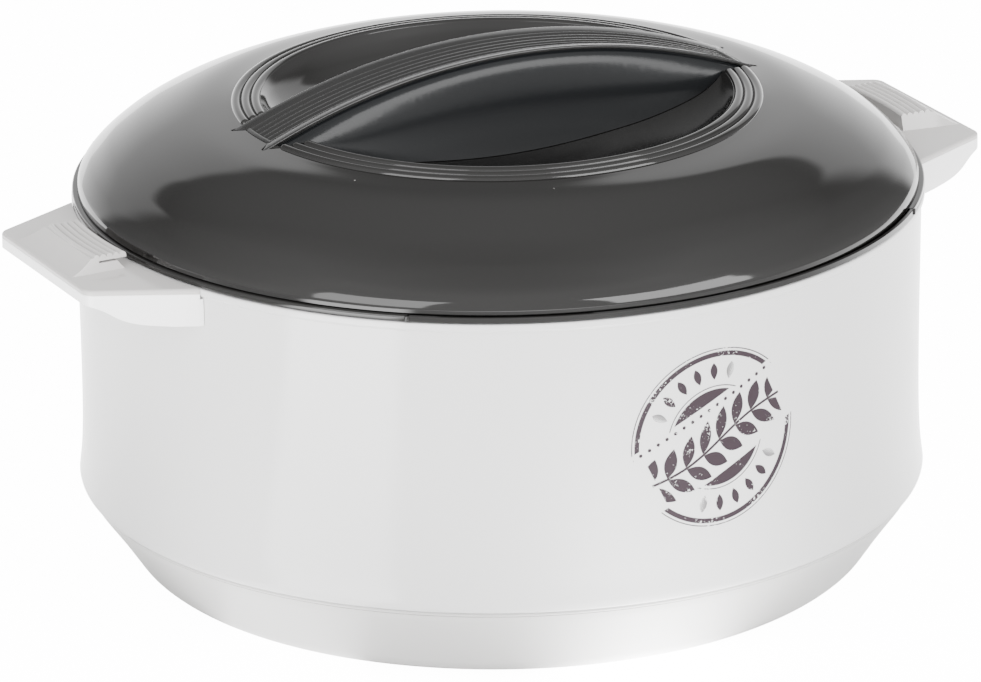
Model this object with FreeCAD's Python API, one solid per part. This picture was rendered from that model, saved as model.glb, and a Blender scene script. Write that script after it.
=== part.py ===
import FreeCAD, Part
import math
import os

os.makedirs("parts", exist_ok=True)

# Insulated serving casserole: a foam filled body with a steel bowl, two side handles,
# and a foam filled lid that lifts off by a bridge grip across its sunk top.
# Millimetres, +Z up, origin on the floor at the centre of the foot, X along the handles.

# Fits
gap = 0.3                # between pieces that sit beside each other
slip = 0.2               # round a piece dropped into its pocket
thread_gap = 0.1         # round a screw in its pilot hole
screw_radius = 2.0
head_radius = 3.8
head_height = 2.4
head_room = 1.4          # foam kept off a screw head or a plug

# The two sizes that casing, bowl, handles and lid are all set out from
rim_radius = 148.0       # edge of the lid
lip_top = 134.4          # top of the casing's lip, just under the lid

# Body casing
casing_wall = 2.2
casing_foot = 31.7
casing_foot_round = 1.0
casing_waist = [(0.0, 0.015), (1.0, 0.1), (1.6, 0.24), (1.7, 0.49), (1.4, 0.79),
                (1.2, 1.0)]                             # in from the lip, share of the height
lip_step = 0.2
lip_slope = 1.1
lip_round = 0.7
lip_wall = 3.4
ledge_drop = 1.2
ledge_width = 7.8
ledge_thickness = 2.0

# Base cover, from the foot up to the seam
base_wall = 2.4
base_curve = [(30.8, 0.0), (23.7, 0.074), (18.9, 0.188), (15.8, 0.332), (11.6, 0.544), (7.2, 0.752),
              (3.6, 0.919), (2.3, 1.0)]                 # in from the lip, share of the height
seam_groove = 0.4
seam_bead = 0.7
seam_bead_drop = 1.9
foot_width = 11.9
foot_recess = 3.0
foot_slope = 3.5
spigot_height = 7.3
plug_radius = 14.0
plug_flange = 18.0
plug_flange_thickness = 1.6
plug_catch = 0.5
plug_head = 1.6

# Steel bowl
steel = 0.8
bowl_floor = 18.0
bowl_corner = 30.0
bowl_clear = 3.4         # wall in from the ledge
bowl_taper = 2.6
bowl_lip_round = 2.2

# Side handles
handle_depth = 25.6      # out from the lid's edge
handle_half_front = 35.3
handle_half_root = 52.1
handle_lean = 26.2       # degrees between a side wall and X
handle_corner = 5.0
handle_wall = 2.4
back_wall = 3.0
plate_step = 0.2         # plates above the casing's lip
plate_thickness = 1.8
shell_top_thickness = 2.0
parting = 0.15
cover_round = 1.0
skirt_edge = [(27.0, 13.1), (20.6, 12.7), (14.6, 11.8), (10.0, 10.1), (6.0, 7.6), (1.1, 5.6),
              (-8.4, 5.0)]                              # in from the front, down from the plate
handle_screw_angle = 8.7
handle_screw_drop = 7.8
handle_screw_hold = 7.8  # length outside the casing's lip
boss_radius = 4.2
boss_end = 2.0

# Thumb rests on the handles
pad_clear = 4.0          # from the lid's edge
pad_rise = 5.6
pad_slab = 2.0
rib_count = 5
rib_pitch = 2.35
rib_radius = 1.15
rib_sink = 0.3
pad_half_top = 18.6
pad_half_root = 20.3
pad_half_short = 20.6
pad_half_long = 24.1
pad_margin = 2.0         # ramp's foot back from the handle's edge
ramp_sag = 0.5
undercut_depth = 2.8
undercut_length = 6.0
slit_height = 0.7
slit_depth = 4.0
slit_run = 9.0
peg_radius = 2.0
peg_out = 6.0            # from the rest's inner face
peg_spread = 10.0
peg_length = 3.2

# Lid
flange_thickness = 2.2
flange_round = 0.8
liner_wall = 2.2
liner_clear = 0.8        # inside the steel bowl
liner_taper = 1.3
liner_depth = 13.4
liner_corner = 4.0
liner_rise = 2.5
weld_ring_height = 4.0
weld_ring_wall = 2.0
band_proud = 0.3
band_start = -129.0
band_sweep = 85.5
nub_radius = 0.9
lid_plug_radius = 9.0
lid_plug_flange = 12.0
lid_plug_thickness = 1.2

# Dome from the edge up to the beads, and the dish in its middle
dome_wall = 2.6
dome_step = 1.8
dome_crown = 165.6
dome_curve = [(0.038, 0.073), (0.057, 0.15), (0.125, 0.296), (0.251, 0.495), (0.448, 0.711), (0.716, 0.906),
              (1.0, 1.0)]                               # shares of the way in and of the rise
bead_outer = 92.15
bead_count = 3
bead_pitch = 3.42
bead_rise = 0.45         # from one bead to the next
bead_round = 1.86
bead_proud = 1.15
bead_tips = [11.2, 14.4, 16.8]                          # degrees from X, outer bead first
dish_floor = 149.7
dish_curve = [(0.965, 0.829), (0.904, 0.643), (0.824, 0.499), (0.708, 0.348), (0.604, 0.243), (0.488, 0.162),
              (0.366, 0.087), (0.195, 0.0145), (0.0, 0.0)]  # shares of the rim's radius and height

# Grip bridge over the dish, swept about a level axis far below the lid
arch_radius = 239.0
grip_crest = 185.0
cap_half = 12.6
cap_edge_drop = 0.25
cap_side_drop = 1.5
cap_core_half = 10.0
cap_core_drop = 2.9
rail_inner = 7.6
flute_count = 5
ridge_drops = [1.0, 1.25, 1.35]
flute_depth = 0.5
tip_over = 3.7           # fishtail tips beyond the outer bead
tip_face = 0.9
notch_half = 8.4
cross_in = 0.95          # cross bar inside the outer bead
cross_round = 1.4
cross_drop = 2.2
web_half_top = 11.9
web_foot = [(0.0, 17.5), (0.28, 17.7), (0.5, 18.0), (0.68, 18.0), (0.82, 17.3), (0.9, 16.3), (0.955, 14.9),
            (1.0, 13.4)]                                # share of the web's length, half width
web_in = 2.0             # web's end inside the outer bead
web_band = 0.6
web_wall = 2.4
web_hollow_sweep = 17.8
seat_depth = 1.3
seat_over = 5.9          # pocket beyond the outer bead
grip_boss_place = 45.0
grip_boss_radius = 5.0
grip_boss_cover = 5.0
seat_boss_radius = 6.5
seat_boss_height = 2.3
grip_screw_length = 23.7

origin = FreeCAD.Vector(0, 0, 0)
up = FreeCAD.Vector(0, 0, 1)
across = FreeCAD.Vector(0, 1, 0)
along = FreeCAD.Vector(1, 0, 0)


def at(point):
    """A (radius, height) pair as a point of the XZ plane."""
    return FreeCAD.Vector(point[0], 0, point[1])


def trace(start, *steps):
    """Closed face in the XZ plane. A step is a point, two points for an arc, or a list for a curve."""
    here = start
    edges = []
    for step in steps:
        if isinstance(step, list):
            curve = Part.BSplineCurve()
            curve.interpolate([at(point) for point in [here] + step])
            edges.append(curve.toShape())
            here = step[-1]
        elif isinstance(step[0], tuple):
            edges.append(Part.Arc(at(here), at(step[0]), at(step[1])).toShape())
            here = step[1]
        else:
            edges.append(Part.makeLine(at(here), at(step)))
            here = step
    edges.append(Part.makeLine(at(here), at(start)))
    return Part.Face(Part.Wire(edges))


def spin(face):
    return face.revolve(origin, up, 360)


def inset(points, distance):
    """Profile points moved square to the profile, towards the left of its run."""
    moved = []
    last = len(points) - 1
    for index, (radius, height) in enumerate(points):
        before = points[max(index - 1, 0)]
        after = points[min(index + 1, last)]
        run = after[0] - before[0]
        rise = after[1] - before[1]
        length = math.hypot(run, rise)
        moved.append((radius - distance * rise / length, height + distance * run / length))
    return moved


def between(points, value):
    """Second number at a value of the first, along a line of points."""
    points = sorted(points)
    value = min(max(value, points[0][0]), points[-1][0])
    for (low, start), (high, end) in zip(points, points[1:]):
        if value <= high:
            return start + (end - start) * (value - low) / (high - low)


def corner(centre, radius, degrees):
    """Point of a rounded corner, at an angle above the radius direction."""
    turn = math.radians(degrees)
    return (centre[0] + radius * math.cos(turn), centre[1] + radius * math.sin(turn))


def plan_prism(points, bottom, top):
    """Upright prism on a plan outline of (x, y) points."""
    loop = [FreeCAD.Vector(x, y, bottom) for x, y in points + points[:1]]
    return Part.Face(Part.makePolygon(loop)).extrude(FreeCAD.Vector(0, 0, top - bottom))


def column(radius, bottom, top, x=0.0, y=0.0):
    return Part.makeCylinder(radius, top - bottom, FreeCAD.Vector(x, y, bottom))


def turned(shape, degrees):
    copy = shape.copy()
    copy.rotate(origin, up, degrees)
    return copy


def upright_edges(shape, x, half):
    """Vertical edges of a prism near x, on either side at half."""
    found = []
    for edge in shape.Edges:
        box, middle = edge.BoundBox, edge.CenterOfMass
        upright = box.XLength < 0.01 and box.YLength < 0.01
        if upright and abs(middle.x - x) < 0.1 and abs(abs(middle.y) - half) < 0.1:
            found.append(edge)
    return found


# Screw holes
screw_hole = screw_radius + gap
pilot_radius = screw_radius + thread_gap

# Casing
lip_radius = rim_radius + lip_step
lip_inner = lip_radius - lip_wall
casing_ledge = lip_top - ledge_drop
casing_under = casing_ledge - ledge_thickness
ledge_inner = lip_inner - ledge_width
casing_side = [(lip_radius - waist, casing_foot + share * (casing_under - casing_foot))
               for waist, share in casing_waist]
casing_top = casing_side[-1][0]
casing_inner = inset(casing_side, casing_wall)
casing_inner[-1] = (lip_inner, casing_under)
plate_top = lip_top + plate_step
handle_screw_height = plate_top - handle_screw_drop


def make_casing():
    foot = lip_radius - casing_foot_round
    round_centre = (lip_radius - lip_round, lip_top - lip_round)
    profile = trace(
        (foot, casing_foot),
        ((lip_radius - 0.3 * casing_foot_round, casing_foot + casing_foot_round / 2), casing_side[0]),
        casing_side[1:],
        (lip_radius, casing_under + lip_slope),
        (lip_radius, round_centre[1]),
        (corner(round_centre, lip_round, 45), (round_centre[0], lip_top)),
        (lip_inner, lip_top),
        (lip_inner, casing_ledge),
        (ledge_inner, casing_ledge),
        (ledge_inner, casing_under),
        casing_inner[-1],
        casing_inner[-2::-1],
        (casing_inner[0][0], casing_foot),
    )
    casing = turned(spin(profile), 90)
    for angle in screw_angles():
        casing = casing.cut(radial_rod(screw_hole, lip_inner - lip_wall, lip_radius + lip_wall, angle))
    return casing


def screw_angles():
    return [side + sign * handle_screw_angle for side in (0, 180) for sign in (-1, 1)]


def radial_rod(radius, start, end, angle):
    """Cylinder that runs out from the axis at the height of the handle screws."""
    place = FreeCAD.Vector(start, 0, handle_screw_height)
    return turned(Part.makeCylinder(radius, end - start, place, along), angle)


# Base cover and its filler plug
seam_top = casing_foot - gap
base_height = casing_foot - seam_bead_drop
base_side = [(lip_radius - inward, share * base_height) for inward, share in base_curve]
base_edge = base_side[-1]
base_inner = inset(base_side[:-1], base_wall)
base_floor = foot_recess + base_wall
foot_inner = base_side[0][0] - foot_width
spigot_inner = base_inner[-1][0]
spigot_top = casing_foot + spigot_height


def make_base_cover():
    spigot_outer = spigot_inner + casing_wall
    groove = base_edge[0] - seam_groove
    bead = (base_edge[0] + seam_bead, (base_height + gap + seam_top) / 2)
    turn = foot_inner + 1.0
    profile = trace(
        (foot_inner, 0.0),
        base_side[0],
        base_side[1:],
        (groove, base_height + slip),
        (bead, (groove, seam_top)),
        (spigot_outer, seam_top),
        (spigot_outer, spigot_top),
        (spigot_inner, spigot_top),
        base_inner[-1],
        base_inner[-2::-1],
        (turn, base_wall),
        (turn - foot_slope, base_floor),
        (plug_radius + gap, base_floor),
        (plug_radius + gap, foot_recess),
        (foot_inner - foot_slope, foot_recess),
    )
    return spin(profile)


def make_base_plug():
    flange_low = foot_recess - plug_flange_thickness
    catch = base_floor + slip
    profile = trace(
        (0, flange_low),
        (plug_flange - plug_catch, flange_low),
        (plug_flange, flange_low + plug_catch),
        (plug_flange, foot_recess),
        (plug_radius, foot_recess),
        (plug_radius, catch),
        (plug_radius + gap + plug_catch, catch + gap),
        (plug_radius - plug_catch, base_floor + plug_head),
        (0, base_floor + plug_head),
    )
    return spin(profile)


# Bowl
bowl_top_radius = ledge_inner - bowl_clear
bowl_low_radius = bowl_top_radius - bowl_taper


def bowl_profile(shift):
    """Run of the bowl wall from the axis to the flange, moved inward by shift."""
    floor = bowl_floor + shift
    centre = (bowl_low_radius - bowl_corner, bowl_floor + bowl_corner)
    low = (bowl_low_radius - shift, centre[1])
    high = (bowl_top_radius - shift, casing_ledge - bowl_lip_round)
    lip = bowl_lip_round + shift
    bend = corner((high[0] + lip, high[1]), lip, 135)
    return [
        (0, floor),
        (centre[0], floor),
        (corner(centre, bowl_corner - shift, -45), low),
        high,
        (bend, (high[0] + lip, casing_ledge + shift)),
    ]


def make_bowl():
    outside = bowl_profile(0.0)
    inside = bowl_profile(steel)
    flange = lip_inner - gap
    profile = trace(
        outside[0],
        outside[1],
        outside[2],
        outside[3],
        outside[4],
        (flange, casing_ledge),
        (flange, casing_ledge + steel),
        inside[4][1],
        (inside[4][0], inside[3]),
        inside[2][1],
        (inside[2][0], inside[1]),
        inside[0],
    )
    return spin(profile)


def make_body_foam():
    side = inset(base_side[:-1], base_wall + gap)
    wall = inset(casing_side, casing_wall + gap)
    floor = base_floor + gap
    spigot = spigot_inner - gap
    top = casing_under - gap
    bowl = bowl_profile(-gap)
    profile = trace(
        (0, floor),
        (side[1][0], floor),
        side[2:-1] + [(spigot, side[-1][1])],
        (spigot, spigot_top + gap),
        (wall[1][0], spigot_top + gap),
        wall[1:-1] + [(wall[-1][0], top)],
        (bowl_top_radius + gap, top),
        bowl[2][1],
        (bowl[2][0], bowl[1]),
        bowl[0],
    )
    foam = spin(profile)
    foam = foam.cut(column(plug_radius + head_room, 0, base_floor + plug_head + head_room))
    for angle in screw_angles():
        start = lip_inner - gap - head_height - head_room
        foam = foam.cut(radial_rod(head_radius + head_room, start, lip_radius, angle))
    return foam


# Handles. Both are made at +X and the left one is turned half a turn.
handle_reach = rim_radius + handle_depth
handle_inner = casing_top + gap
handle_top = plate_top - plate_thickness
handle_low = plate_top - skirt_edge[0][1]
handle_screw_reach = lip_radius + handle_screw_hold


def handle_plan(shrink):
    """Plan outline: side walls that open towards the casing and end square to it."""
    lean = math.radians(handle_lean)
    edge = handle_reach - shrink
    half_front = handle_half_front - shrink * (1 - math.sin(lean)) / math.cos(lean)
    half_root = handle_half_root - shrink
    wall_end = edge - (half_root - half_front) / math.tan(lean)
    root = lip_radius - handle_half_root / 2
    right = [(root, half_root), (wall_end, half_root), (edge, half_front)]
    return [(x, -y) for x, y in right] + right[::-1]


def handle_block(shrink, bottom, top):
    points = handle_plan(shrink)
    block = plan_prism(points, bottom, top)
    return block.makeFillet(handle_corner - shrink, upright_edges(block, points[2][0], points[3][1]))


def free_edges(block, height):
    """Edges of a block at a height, but for its hidden root."""
    root = lip_radius - handle_half_root / 2
    level = [edge for edge in block.Edges if abs(edge.BoundBox.ZMin - height) + edge.BoundBox.ZLength < 0.01]
    return [edge for edge in level if edge.CenterOfMass.x > root + 0.1]


def peg_holes(piece, bottom, top):
    for sign in (-1, 1):
        piece = piece.cut(column(peg_radius + slip, bottom, top, peg_place, sign * peg_spread))
    return piece


def make_handle():
    deep = handle_low - handle_wall
    block = handle_block(0.0, deep, handle_top)
    block = block.makeChamfer(parting, free_edges(block, handle_top))
    hollow = handle_block(handle_wall, deep - 1, handle_top - shell_top_thickness)
    hollow = hollow.cut(column(handle_inner + back_wall, deep - 1, handle_top))
    handle = block.cut(hollow)
    boss_reach = handle_screw_reach + boss_end
    for sign in (-1, 1):
        boss = radial_rod(boss_radius, handle_inner + back_wall / 2, boss_reach, sign * handle_screw_angle)
        handle = handle.fuse(boss)
    edge = [(handle_reach - inward, plate_top - drop) for inward, drop in skirt_edge]
    below = trace((0.0, handle_low), edge[0], edge[1:], (edge[-1][0], deep - 1), (0.0, deep - 1))
    below.translate(FreeCAD.Vector(0, -2 * handle_half_root, 0))
    handle = handle.cut(below.extrude(FreeCAD.Vector(0, 4 * handle_half_root, 0)))
    handle = handle.cut(column(handle_inner, deep - 1, handle_top + 1))
    handle = handle.cut(column(lip_radius + gap, casing_under - gap, handle_top + 1))
    for sign in (-1, 1):
        pilot = radial_rod(pilot_radius, lip_inner, handle_screw_reach + gap, sign * handle_screw_angle)
        handle = handle.cut(pilot)
    return peg_holes(handle, deep, handle_top + 1).removeSplitter()


def make_handle_cover():
    block = handle_block(0.0, handle_top, plate_top)
    block = block.makeChamfer(parting, free_edges(block, handle_top))
    block = block.makeFillet(cover_round, free_edges(block, plate_top))
    cover = block.cut(column(lip_radius + gap, handle_top - 1, plate_top + 1))
    return peg_holes(cover, handle_top - 1, plate_top + 1)


# Thumb rests
pad_inner = rim_radius + pad_clear
pad_front = handle_reach - pad_margin
pad_top = plate_top + pad_rise
peg_place = pad_inner + peg_out


def make_thumb_pad():
    slab = pad_top - rib_radius + rib_sink
    slab_bottom = pad_top - pad_slab
    first = pad_inner + rib_pitch / 2
    steps = [(pad_inner, slab)]
    half = math.sqrt(rib_radius ** 2 - rib_sink ** 2)
    for index in range(rib_count):
        middle = first + index * rib_pitch
        steps.append((middle - half, slab))
        steps.append(((middle, pad_top), (middle + half, slab)))
    far = handle_reach + pad_rise
    ribbed = trace((pad_inner, plate_top), *steps, (far, slab), (far, plate_top))
    spread = 1.5 * math.degrees(math.asin(pad_half_long / pad_inner))
    ribbed = turned(ribbed.revolve(origin, up, 2 * spread), -spread)
    last_rib = first + (rib_count - 0.5) * rib_pitch
    middle = ((pad_front + last_rib) / 2 - ramp_sag, (plate_top + slab) / 2 - ramp_sag / 2)
    root = pad_inner - pad_rise
    ramp = trace((root, plate_top), (pad_front, plate_top), (middle, (last_rib, slab)),
                 (last_rib, pad_top + 1), (root, pad_top + 1))
    ramp.translate(FreeCAD.Vector(0, -2 * pad_half_long, 0))
    pad = ribbed.common(ramp.extrude(FreeCAD.Vector(0, 4 * pad_half_long, 0)))
    low = [(root, -pad_half_root), (pad_front + 1, -pad_half_long), (pad_front + 1, pad_half_short),
           (root, pad_half_root)]
    high = [(root, -pad_half_top), (pad_front + 1, -pad_half_top), (pad_front + 1, pad_half_top),
            (root, pad_half_top)]
    loops = []
    for points, height in ((low, plate_top), (high, pad_top + rib_sink)):
        loops.append(Part.makePolygon([FreeCAD.Vector(x, y, height) for x, y in points + points[:1]]))
    pad = pad.common(Part.makeLoft(loops, True, True))
    undercut = trace((root, plate_top - 1), (pad_inner, plate_top - 1), (pad_inner, plate_top),
                     (pad_inner + undercut_depth, slab_bottom), (root, slab_bottom))
    undercut.translate(FreeCAD.Vector(0, pad_half_top - undercut_length, 0))
    pad = pad.cut(undercut.extrude(FreeCAD.Vector(0, pad_half_long, 0)))
    slit = Part.makeBox(slit_run + pad_rise, pad_half_long, slit_height)
    slit.translate(FreeCAD.Vector(root, pad_half_top - slit_depth, slab_bottom - slit_height))
    pad = pad.cut(slit)
    for sign in (-1, 1):
        peg = column(peg_radius, handle_top - peg_length, plate_top + 1, peg_place, sign * peg_spread)
        pad = pad.fuse(peg)
    return pad.removeSplitter()


def make_handle_screws():
    inside = lip_inner - gap
    screws = []
    for angle in screw_angles():
        head = radial_rod(head_radius, inside - head_height, inside, angle)
        shank = radial_rod(screw_radius, inside - head_height / 2, handle_screw_reach, angle)
        screws.append(head.fuse(shank).removeSplitter())
    return Part.makeCompound(screws)


# Lid
flange_bottom = lip_top + gap
flange_top = flange_bottom + flange_thickness
dome_foot = (rim_radius - dome_step, flange_top + gap)
dome_side = [(rim_radius - way * (rim_radius - bead_outer), flange_top + rise * (dome_crown - flange_top))
             for way, rise in dome_curve]
bead_inner = bead_outer - bead_count * bead_pitch
dish_rim = dome_crown + bead_count * bead_rise
dish_side = [(share * bead_inner, dish_floor + rise * (dish_rim - dish_floor)) for share, rise in dish_curve]
dish_shoulder = dish_side[0]

# Floor of the pocket that the grip's foot sits in
seat_floor = [
    (dish_shoulder[0] - gap, dish_shoulder[1] - gap),
    (bead_inner + bead_pitch / 2, dish_rim - bead_rise / 2 - seat_depth),
    (bead_outer, dome_crown - seat_depth),
    (bead_outer + seat_over, dome_crown - seat_depth - bead_proud),
]
ground_line = dish_side + seat_floor[1:]

# Where the screws for the grip sit under the dish
grip_screw_seat = between(dish_side, grip_boss_place) - dome_wall - seat_boss_height


def dome_under(distance):
    """Points of the dome's underside, from its foot to the dish's centre, and where the dish starts."""
    side = inset(dome_side, distance)
    shelf = (bead_inner + 0.8 * bead_pitch, dish_rim - distance - bead_rise)
    dish = inset(dish_side, distance)
    dish[-1] = (0.0, dish_floor - distance)
    return side, shelf, dish


def make_beads():
    """Round beads that end in rounded tips beside the grip's foot."""
    slab = trace(
        (bead_inner - bead_pitch, dish_rim - bead_proud),
        (bead_outer + bead_pitch, dome_crown - bead_proud),
        (bead_outer + bead_pitch, dish_rim + bead_round),
        (bead_inner - bead_pitch, dish_rim + bead_round),
    )
    slab = spin(slab)
    beads = []
    for index in range(bead_count):
        radius = bead_outer - (index + 0.5) * bead_pitch
        height = dome_crown + (index + 0.5) * bead_rise + bead_proud - bead_round
        place = FreeCAD.Vector(radius, 0, height)
        start = bead_tips[index] + math.degrees(bead_round / radius)
        section = Part.Face(Part.Wire(Part.makeCircle(bead_round, place, across)))
        for side in (0, 180):
            bead = turned(section, start + side).revolve(origin, up, 180 - 2 * start)
            for angle in (start, 180 - start):
                bead = bead.fuse(turned(Part.makeSphere(bead_round, place), angle + side))
            beads.append(bead.common(slab))
    return beads


def make_dome():
    side, shelf, dish = dome_under(dome_wall)
    profile = trace(
        dome_foot,
        dome_side,
        (bead_inner, dish_rim),
        dish_shoulder,
        dish_side[1:],
        dish[-1],
        dish[-2::-1],
        shelf,
        side[-1],
        side[-2::-1] + [(dome_foot[0] - dome_wall, dome_foot[1])],
    )
    dome = spin(profile)
    for bead in make_beads():
        dome = dome.fuse(bead)
    top = grip_crest
    sunk = spin(trace(seat_floor[0], *seat_floor[1:], (seat_floor[-1][0], top), (seat_floor[0][0], top)))
    seat = plan_prism(cap_plan(slip), dish_floor, top)
    outline = [(web_end * share, half) for share, half in web_foot if share > 0.6]
    outline = [(x + gap, half + gap) for x, half in outline]
    right = outline + [(x, -half) for x, half in outline[::-1]]
    for sign in (-1, 1):
        seat = seat.fuse(plan_prism([(sign * x, half) for x, half in right], dish_floor, top))
    dome = dome.cut(sunk.common(seat))
    for sign in (-1, 1):
        place = sign * grip_boss_place
        boss = column(seat_boss_radius, grip_screw_seat, dish_rim, place)
        dome = dome.fuse(boss.common(under_dish(-dome_wall / 3)))
    for sign in (-1, 1):
        dome = dome.cut(column(screw_hole, liner_bottom, grip_crest, sign * grip_boss_place))
    return dome


def under_dish(raise_by):
    """Everything below the dish and the grip's pocket, raised by a clearance."""
    dish = [(radius, height + raise_by) for radius, height in dish_side[::-1]]
    floor = [(radius, height + raise_by) for radius, height in seat_floor[1:]]
    low = liner_bottom
    return spin(trace((0, low), dish[0], dish[1:], *floor, (seat_floor[-1][0], low)))


# Liner
liner_top_radius = bowl_top_radius - steel - liner_clear
liner_low_radius = liner_top_radius - liner_taper
liner_bottom = lip_top - liner_depth
plate_edge = liner_low_radius - liner_corner
weld_ring_top = flange_top + weld_ring_height
weld_ring_outer = between([(height, radius) for radius, height in inset(dome_side, dome_wall)],
                          weld_ring_top) - gap


def plate_under(radius):
    """Height of the liner's slightly domed underside."""
    return liner_bottom + liner_rise * (1 - (radius / plate_edge) ** 2)


def make_liner():
    low_centre = (plate_edge, liner_bottom + liner_corner)
    hole = lid_plug_radius + gap
    middle = plate_edge / 2
    inner_centre = corner(low_centre, liner_corner - liner_wall, -45)
    ring_inner = weld_ring_outer - weld_ring_wall
    edge = rim_radius - flange_round
    low_round = (edge, flange_bottom + flange_round)
    high_round = (edge, flange_top - flange_round)
    profile = trace(
        (hole, plate_under(hole)),
        ((middle, plate_under(middle)), (plate_edge, liner_bottom)),
        (corner(low_centre, liner_corner, -45), (liner_low_radius, low_centre[1])),
        (liner_top_radius, flange_bottom),
        (edge, flange_bottom),
        (corner(low_round, flange_round, -45), (rim_radius, low_round[1])),
        (rim_radius, high_round[1]),
        (corner(high_round, flange_round, 45), (edge, flange_top)),
        (weld_ring_outer, flange_top),
        (weld_ring_outer, weld_ring_top),
        (ring_inner, weld_ring_top),
        (ring_inner, flange_top),
        (liner_top_radius - liner_wall, flange_top),
        (liner_low_radius - liner_wall, low_centre[1]),
        (inner_centre, (low_centre[0], liner_bottom + liner_wall)),
        ((middle, plate_under(middle) + liner_wall), (hole, plate_under(hole) + liner_wall)),
    )
    liner = spin(profile)
    band_low = flange_bottom + slip
    band_radius = rim_radius + band_proud
    band_inner = rim_radius - 2 * flange_round
    for start in (band_start, band_start + 180.0):
        band = trace((band_inner, band_low), (band_radius, band_low), (band_radius, flange_top),
                     (band_inner, flange_top)).revolve(origin, up, band_sweep)
        liner = liner.fuse(turned(band, start))
        for angle in (start, start + band_sweep):
            liner = liner.fuse(turned(column(nub_radius, band_low, flange_top, rim_radius), angle))
    return liner.removeSplitter()


def make_lid_plug():
    centre = plate_under(lid_plug_radius)
    flange_high = centre - thread_gap / 2
    flange_low = centre - lid_plug_thickness
    inside = centre + liner_wall
    profile = trace(
        (0, flange_low),
        (lid_plug_flange - plug_catch, flange_low),
        (lid_plug_flange, flange_low + plug_catch),
        (lid_plug_flange, flange_high),
        (lid_plug_radius, flange_high),
        (lid_plug_radius, inside + slip),
        (lid_plug_radius + gap + plug_catch, inside + slip + gap),
        (lid_plug_radius - plug_catch, inside + plug_head),
        (0, inside + plug_head),
    )
    return spin(profile)


def make_lid_foam():
    side, shelf, dish = dome_under(dome_wall + gap)
    under = liner_wall + gap
    edge = liner_low_radius - under
    bend = liner_corner - 1.0
    ring = weld_ring_outer - weld_ring_wall - gap
    middle = plate_edge / 2
    profile = trace(
        (0, plate_under(0.0) + under),
        ((middle, plate_under(middle) + under), (edge - bend, liner_bottom + under)),
        (edge, liner_bottom + under + bend),
        (liner_top_radius - under, flange_top + gap),
        (ring, flange_top + gap),
        (ring, weld_ring_top + gap),
        side[2],
        side[3:],
        shelf,
        dish[0],
        dish[1:],
    )
    foam = spin(profile)
    plug_top = plate_under(0.0) + liner_wall + plug_head + head_room
    foam = foam.cut(column(lid_plug_radius + head_room, liner_bottom, plug_top))
    for sign in (-1, 1):
        low = grip_screw_seat - head_height - head_room
        foam = foam.cut(column(seat_boss_radius + gap, low, dish_rim, sign * grip_boss_place))
    return foam


# Grip
arch_centre = grip_crest - arch_radius
arch_pivot = FreeCAD.Vector(0, 0, arch_centre)
web_end = bead_outer - web_in
tip_reach = bead_outer + tip_over
cross_radius = bead_outer - cross_in
lobe_radius = cross_radius + cross_round


def arch_height(x, drop=0.0):
    return arch_centre + math.sqrt((arch_radius - drop) ** 2 - x ** 2)


def arch_turn(x):
    """Angle about the arch's axis that reaches out to x, in degrees."""
    return math.degrees(math.asin(x / arch_radius))


def arch_spin(points, degrees):
    """Sweep (half width, height at the crest) points about the level axis of the arch, both ways."""
    loop = [FreeCAD.Vector(0, y, height) for y, height in points + points[:1]]
    face = Part.Face(Part.makePolygon(loop))
    face.rotate(arch_pivot, across, -degrees)
    return face.revolve(arch_pivot, across, 2 * degrees)


def mirrored(points):
    return points + [(-y, height) for y, height in points[::-1]]


def cap_plan(grow):
    """Plan outline of the ribbed cap, with a fishtail and a small lobe at each end."""
    lobe = lobe_radius + grow
    end = [
        (tip_reach + grow, cap_half + grow),
        (tip_reach + grow, cap_half - tip_face - grow),
        (math.sqrt(lobe ** 2 - notch_half ** 2), notch_half),
        (math.sqrt(lobe ** 2 - (notch_half / 2) ** 2), notch_half / 2),
        (lobe, 0.0),
    ]
    right = end + [(x, -y) for x, y in end[-2::-1]]
    return right + [(-x, -y) for x, y in right]


def web_base(x):
    """Half width of the web's foot, and the height where it meets the dish."""
    half = between([(share * web_end, width) for share, width in web_foot], abs(x))
    return half, between(ground_line, math.hypot(x, half))


def web_side(x, turn):
    """Point of the web's flared side, from its foot at turn 0 to its shoulder at 90 degrees."""
    half, base = web_base(x)
    shoulder = arch_height(x, cap_side_drop) - web_band
    base = min(base, shoulder - slip)
    angle = math.radians(turn)
    y = web_half_top + (half - web_half_top) * math.cos(angle)
    return FreeCAD.Vector(x, y, base + (shoulder - base) * math.sin(angle))


def web_section(x):
    """Closed section of the web across X, run on below the dish."""
    flare = [web_side(x, turn) for turn in range(0, 91, 18)]
    top = FreeCAD.Vector(x, web_half_top, arch_height(x))
    low = FreeCAD.Vector(x, flare[0].y, dish_floor - dome_wall)
    side = Part.BSplineCurve()
    side.interpolate(flare)
    other = Part.BSplineCurve()
    other.interpolate([FreeCAD.Vector(x, -point.y, point.z) for point in flare[::-1]])
    top_right = FreeCAD.Vector(x, -top.y, top.z)
    shoulder_right = FreeCAD.Vector(x, -flare[-1].y, flare[-1].z)
    foot_right = FreeCAD.Vector(x, -flare[0].y, flare[0].z)
    low_right = FreeCAD.Vector(x, -low.y, low.z)
    return Part.Wire([
        Part.makeLine(low, flare[0]),
        side.toShape(),
        Part.makeLine(flare[-1], top),
        Part.makeLine(top, top_right),
        Part.makeLine(top_right, shoulder_right),
        other.toShape(),
        Part.makeLine(foot_right, low_right),
        Part.makeLine(low_right, low),
    ])


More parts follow.
